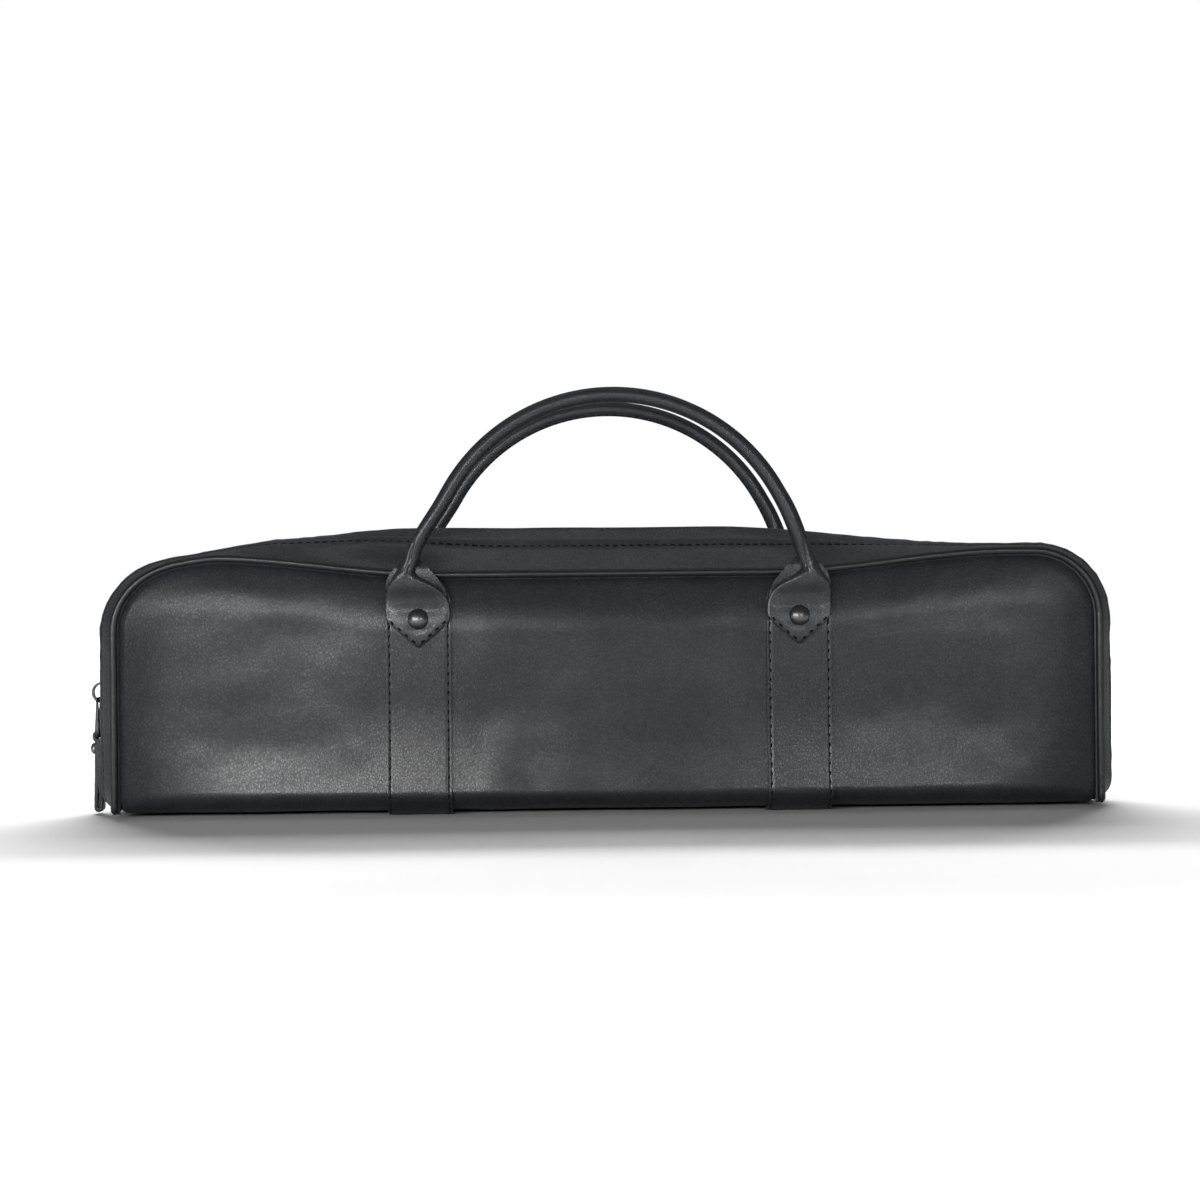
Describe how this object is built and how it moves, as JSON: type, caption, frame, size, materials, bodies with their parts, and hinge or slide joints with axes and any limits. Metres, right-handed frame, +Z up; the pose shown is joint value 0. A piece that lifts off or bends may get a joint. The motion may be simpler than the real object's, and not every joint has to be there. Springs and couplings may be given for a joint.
{
  "type": "flute bag",
  "caption": "Slim zipped flute bag in smooth dark leather: two boarded halves that fold open at the base, rolled carrying handles on riveted tabs, and a zip round both ends and the top.",
  "frame": {"origin": "on the ground under the middle of the whole part, in the plane of the zip, where the bottom fold lies", "axes": "+X along the bag to the right as seen from the front, +Z up, and the front faces -Y; the zip slider is at the -X end"},
  "size_m": [0.436, 0.0822, 0.1771],
  "materials": {
    "leather": "satin, fine wrinkled grain",
    "board": "fibre board, matt",
    "lining": "brushed cloth, matt",
    "zip_tape": "woven tape, matt",
    "zip_metal": "dark nickel, satin",
    "rivet_metal": "black enamel, polished",
    "cord": "cotton cord"
  },
  "bodies": {
    "back_half": {"back_panel": "leather", "back_gusset": "leather", "back_piping": "leather", "back_left_strap": "leather", "back_right_strap": "leather", "back_left_tab": "leather", "back_right_tab": "leather", "back_board": "board", "back_base_board": "board", "back_lining": "lining", "back_gusset_lining": "lining", "back_zip_tape": "zip_tape", "back_zip_teeth": "zip_metal", "back_zip_teeth_left": "zip_metal", "back_zip_stop": "zip_metal", "back_left_rivet": "rivet_metal", "back_right_rivet": "rivet_metal", "back_left_rivet_washer": "rivet_metal", "back_right_rivet_washer": "rivet_metal", "zip_end_stop": "zip_metal"},
    "front_half": {"front_panel": "leather", "front_gusset": "leather", "front_piping": "leather", "front_left_strap": "leather", "front_right_strap": "leather", "front_left_tab": "leather", "front_right_tab": "leather", "front_board": "board", "front_base_board": "board", "front_lining": "lining", "front_gusset_lining": "lining", "front_zip_tape": "zip_tape", "front_zip_teeth": "zip_metal", "front_zip_teeth_left": "zip_metal", "front_zip_stop": "zip_metal", "front_left_rivet": "rivet_metal", "front_right_rivet": "rivet_metal", "front_left_rivet_washer": "rivet_metal", "front_right_rivet_washer": "rivet_metal"},
    "front_handle": {"front_handle": "leather", "front_handle_core": "cord"},
    "back_handle": {"back_handle": "leather", "back_handle_core": "cord"},
    "zip_slider": {"zip_slider": "zip_metal"},
    "pull_link": {"pull_link": "zip_metal"},
    "pull_thong": {"pull_thong": "leather", "pull_rivet": "zip_metal"}
  },
  "joints": [
    {"name": "front_open", "type": "hinge", "parent": "back_half", "child": "front_half", "pos_m": [0, 0, 0], "axis": [1, 0, 0], "range_deg": [0, 100]},
    {"name": "front_handle_swing", "type": "hinge", "parent": "front_half", "child": "front_handle", "pos_m": [0, -0.038, 0.1015], "axis": [1, 0, 0], "range_deg": [-20, 140]},
    {"name": "back_handle_swing", "type": "hinge", "parent": "back_half", "child": "back_handle", "pos_m": [0, 0.038, 0.1015], "axis": [-1, 0, 0], "range_deg": [-20, 140]},
    {"name": "zip_slide", "type": "slide", "parent": "back_half", "child": "zip_slider", "axis": [0, 0, 1], "range_m": [-0.03, 0.02], "deforming": ["front_zip_teeth_left", "back_zip_teeth_left"]},
    {"name": "pull_link_swing", "type": "hinge", "parent": "zip_slider", "child": "pull_link", "pos_m": [-0.21432, 0, 0.04935], "axis": [0, 1, 0], "range_deg": [0, 150]},
    {"name": "pull_thong_swing", "type": "hinge", "parent": "pull_link", "child": "pull_thong", "pos_m": [-0.21432, 0, 0.03315], "axis": [0, 1, 0], "range_deg": [-2, 40]}
  ]
}
